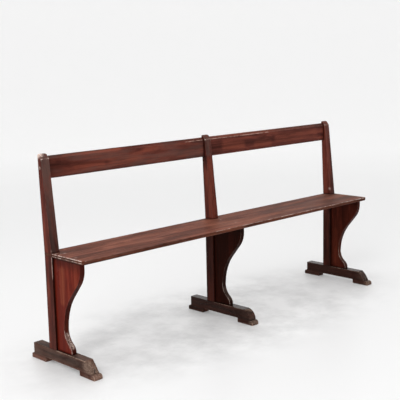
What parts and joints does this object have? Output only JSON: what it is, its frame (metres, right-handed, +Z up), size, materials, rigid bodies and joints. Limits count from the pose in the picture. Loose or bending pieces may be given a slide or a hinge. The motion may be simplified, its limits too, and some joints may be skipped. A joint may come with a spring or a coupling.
{
  "type": "church bench",
  "caption": "Long open-backed wooden bench with a narrow plank seat, ogee seat brackets, raked posts and sledge feet.",
  "frame": {"origin": "on the floor, at the middle of the bench's length and of its feet front to back", "axes": "+X along the seat, to the right as seen from the front; -Y is the side the sitter faces; +Z up"},
  "size_m": [1.82, 0.409, 0.84],
  "materials": {
    "seat_wood": "worn red-brown varnish over softwood or mahogany, satin",
    "rail_wood": "dark red-brown varnish, satin",
    "post_wood": "dark red-brown varnish, satin",
    "bracket_wood": "red-brown varnish with upright grain, glossy",
    "foot_wood": "dark brown varnish, scuffed and dusty",
    "peg_wood": "plain wood, toned to match",
    "screw_steel": "dull steel"
  },
  "bodies": {
    "root": {"seat_board": "seat_wood", "back_rail_left": "rail_wood", "back_rail_right": "rail_wood", "post_left": "post_wood", "seat_bracket_left": "bracket_wood", "foot_runner_left": "foot_wood", "front_foot_pad_left": "foot_wood", "rear_foot_pad_left": "foot_wood", "post_tenon_wedges_left": "peg_wood", "seat_screws_left": "screw_steel", "seat_screw_plugs_left": "peg_wood", "pad_screws_left": "screw_steel", "post_centre": "post_wood", "seat_bracket_centre": "bracket_wood", "foot_runner_centre": "foot_wood", "front_foot_pad_centre": "foot_wood", "rear_foot_pad_centre": "foot_wood", "post_tenon_wedges_centre": "peg_wood", "seat_screws_centre": "screw_steel", "seat_screw_plugs_centre": "peg_wood", "pad_screws_centre": "screw_steel", "post_right": "post_wood", "seat_bracket_right": "bracket_wood", "foot_runner_right": "foot_wood", "front_foot_pad_right": "foot_wood", "rear_foot_pad_right": "foot_wood", "post_tenon_wedges_right": "peg_wood", "seat_screws_right": "screw_steel", "seat_screw_plugs_right": "peg_wood", "pad_screws_right": "screw_steel", "rail_nail_left": "screw_steel", "rail_nail_right": "screw_steel", "rail_tenon_pegs_centre": "peg_wood"}
  },
  "joints": []
}
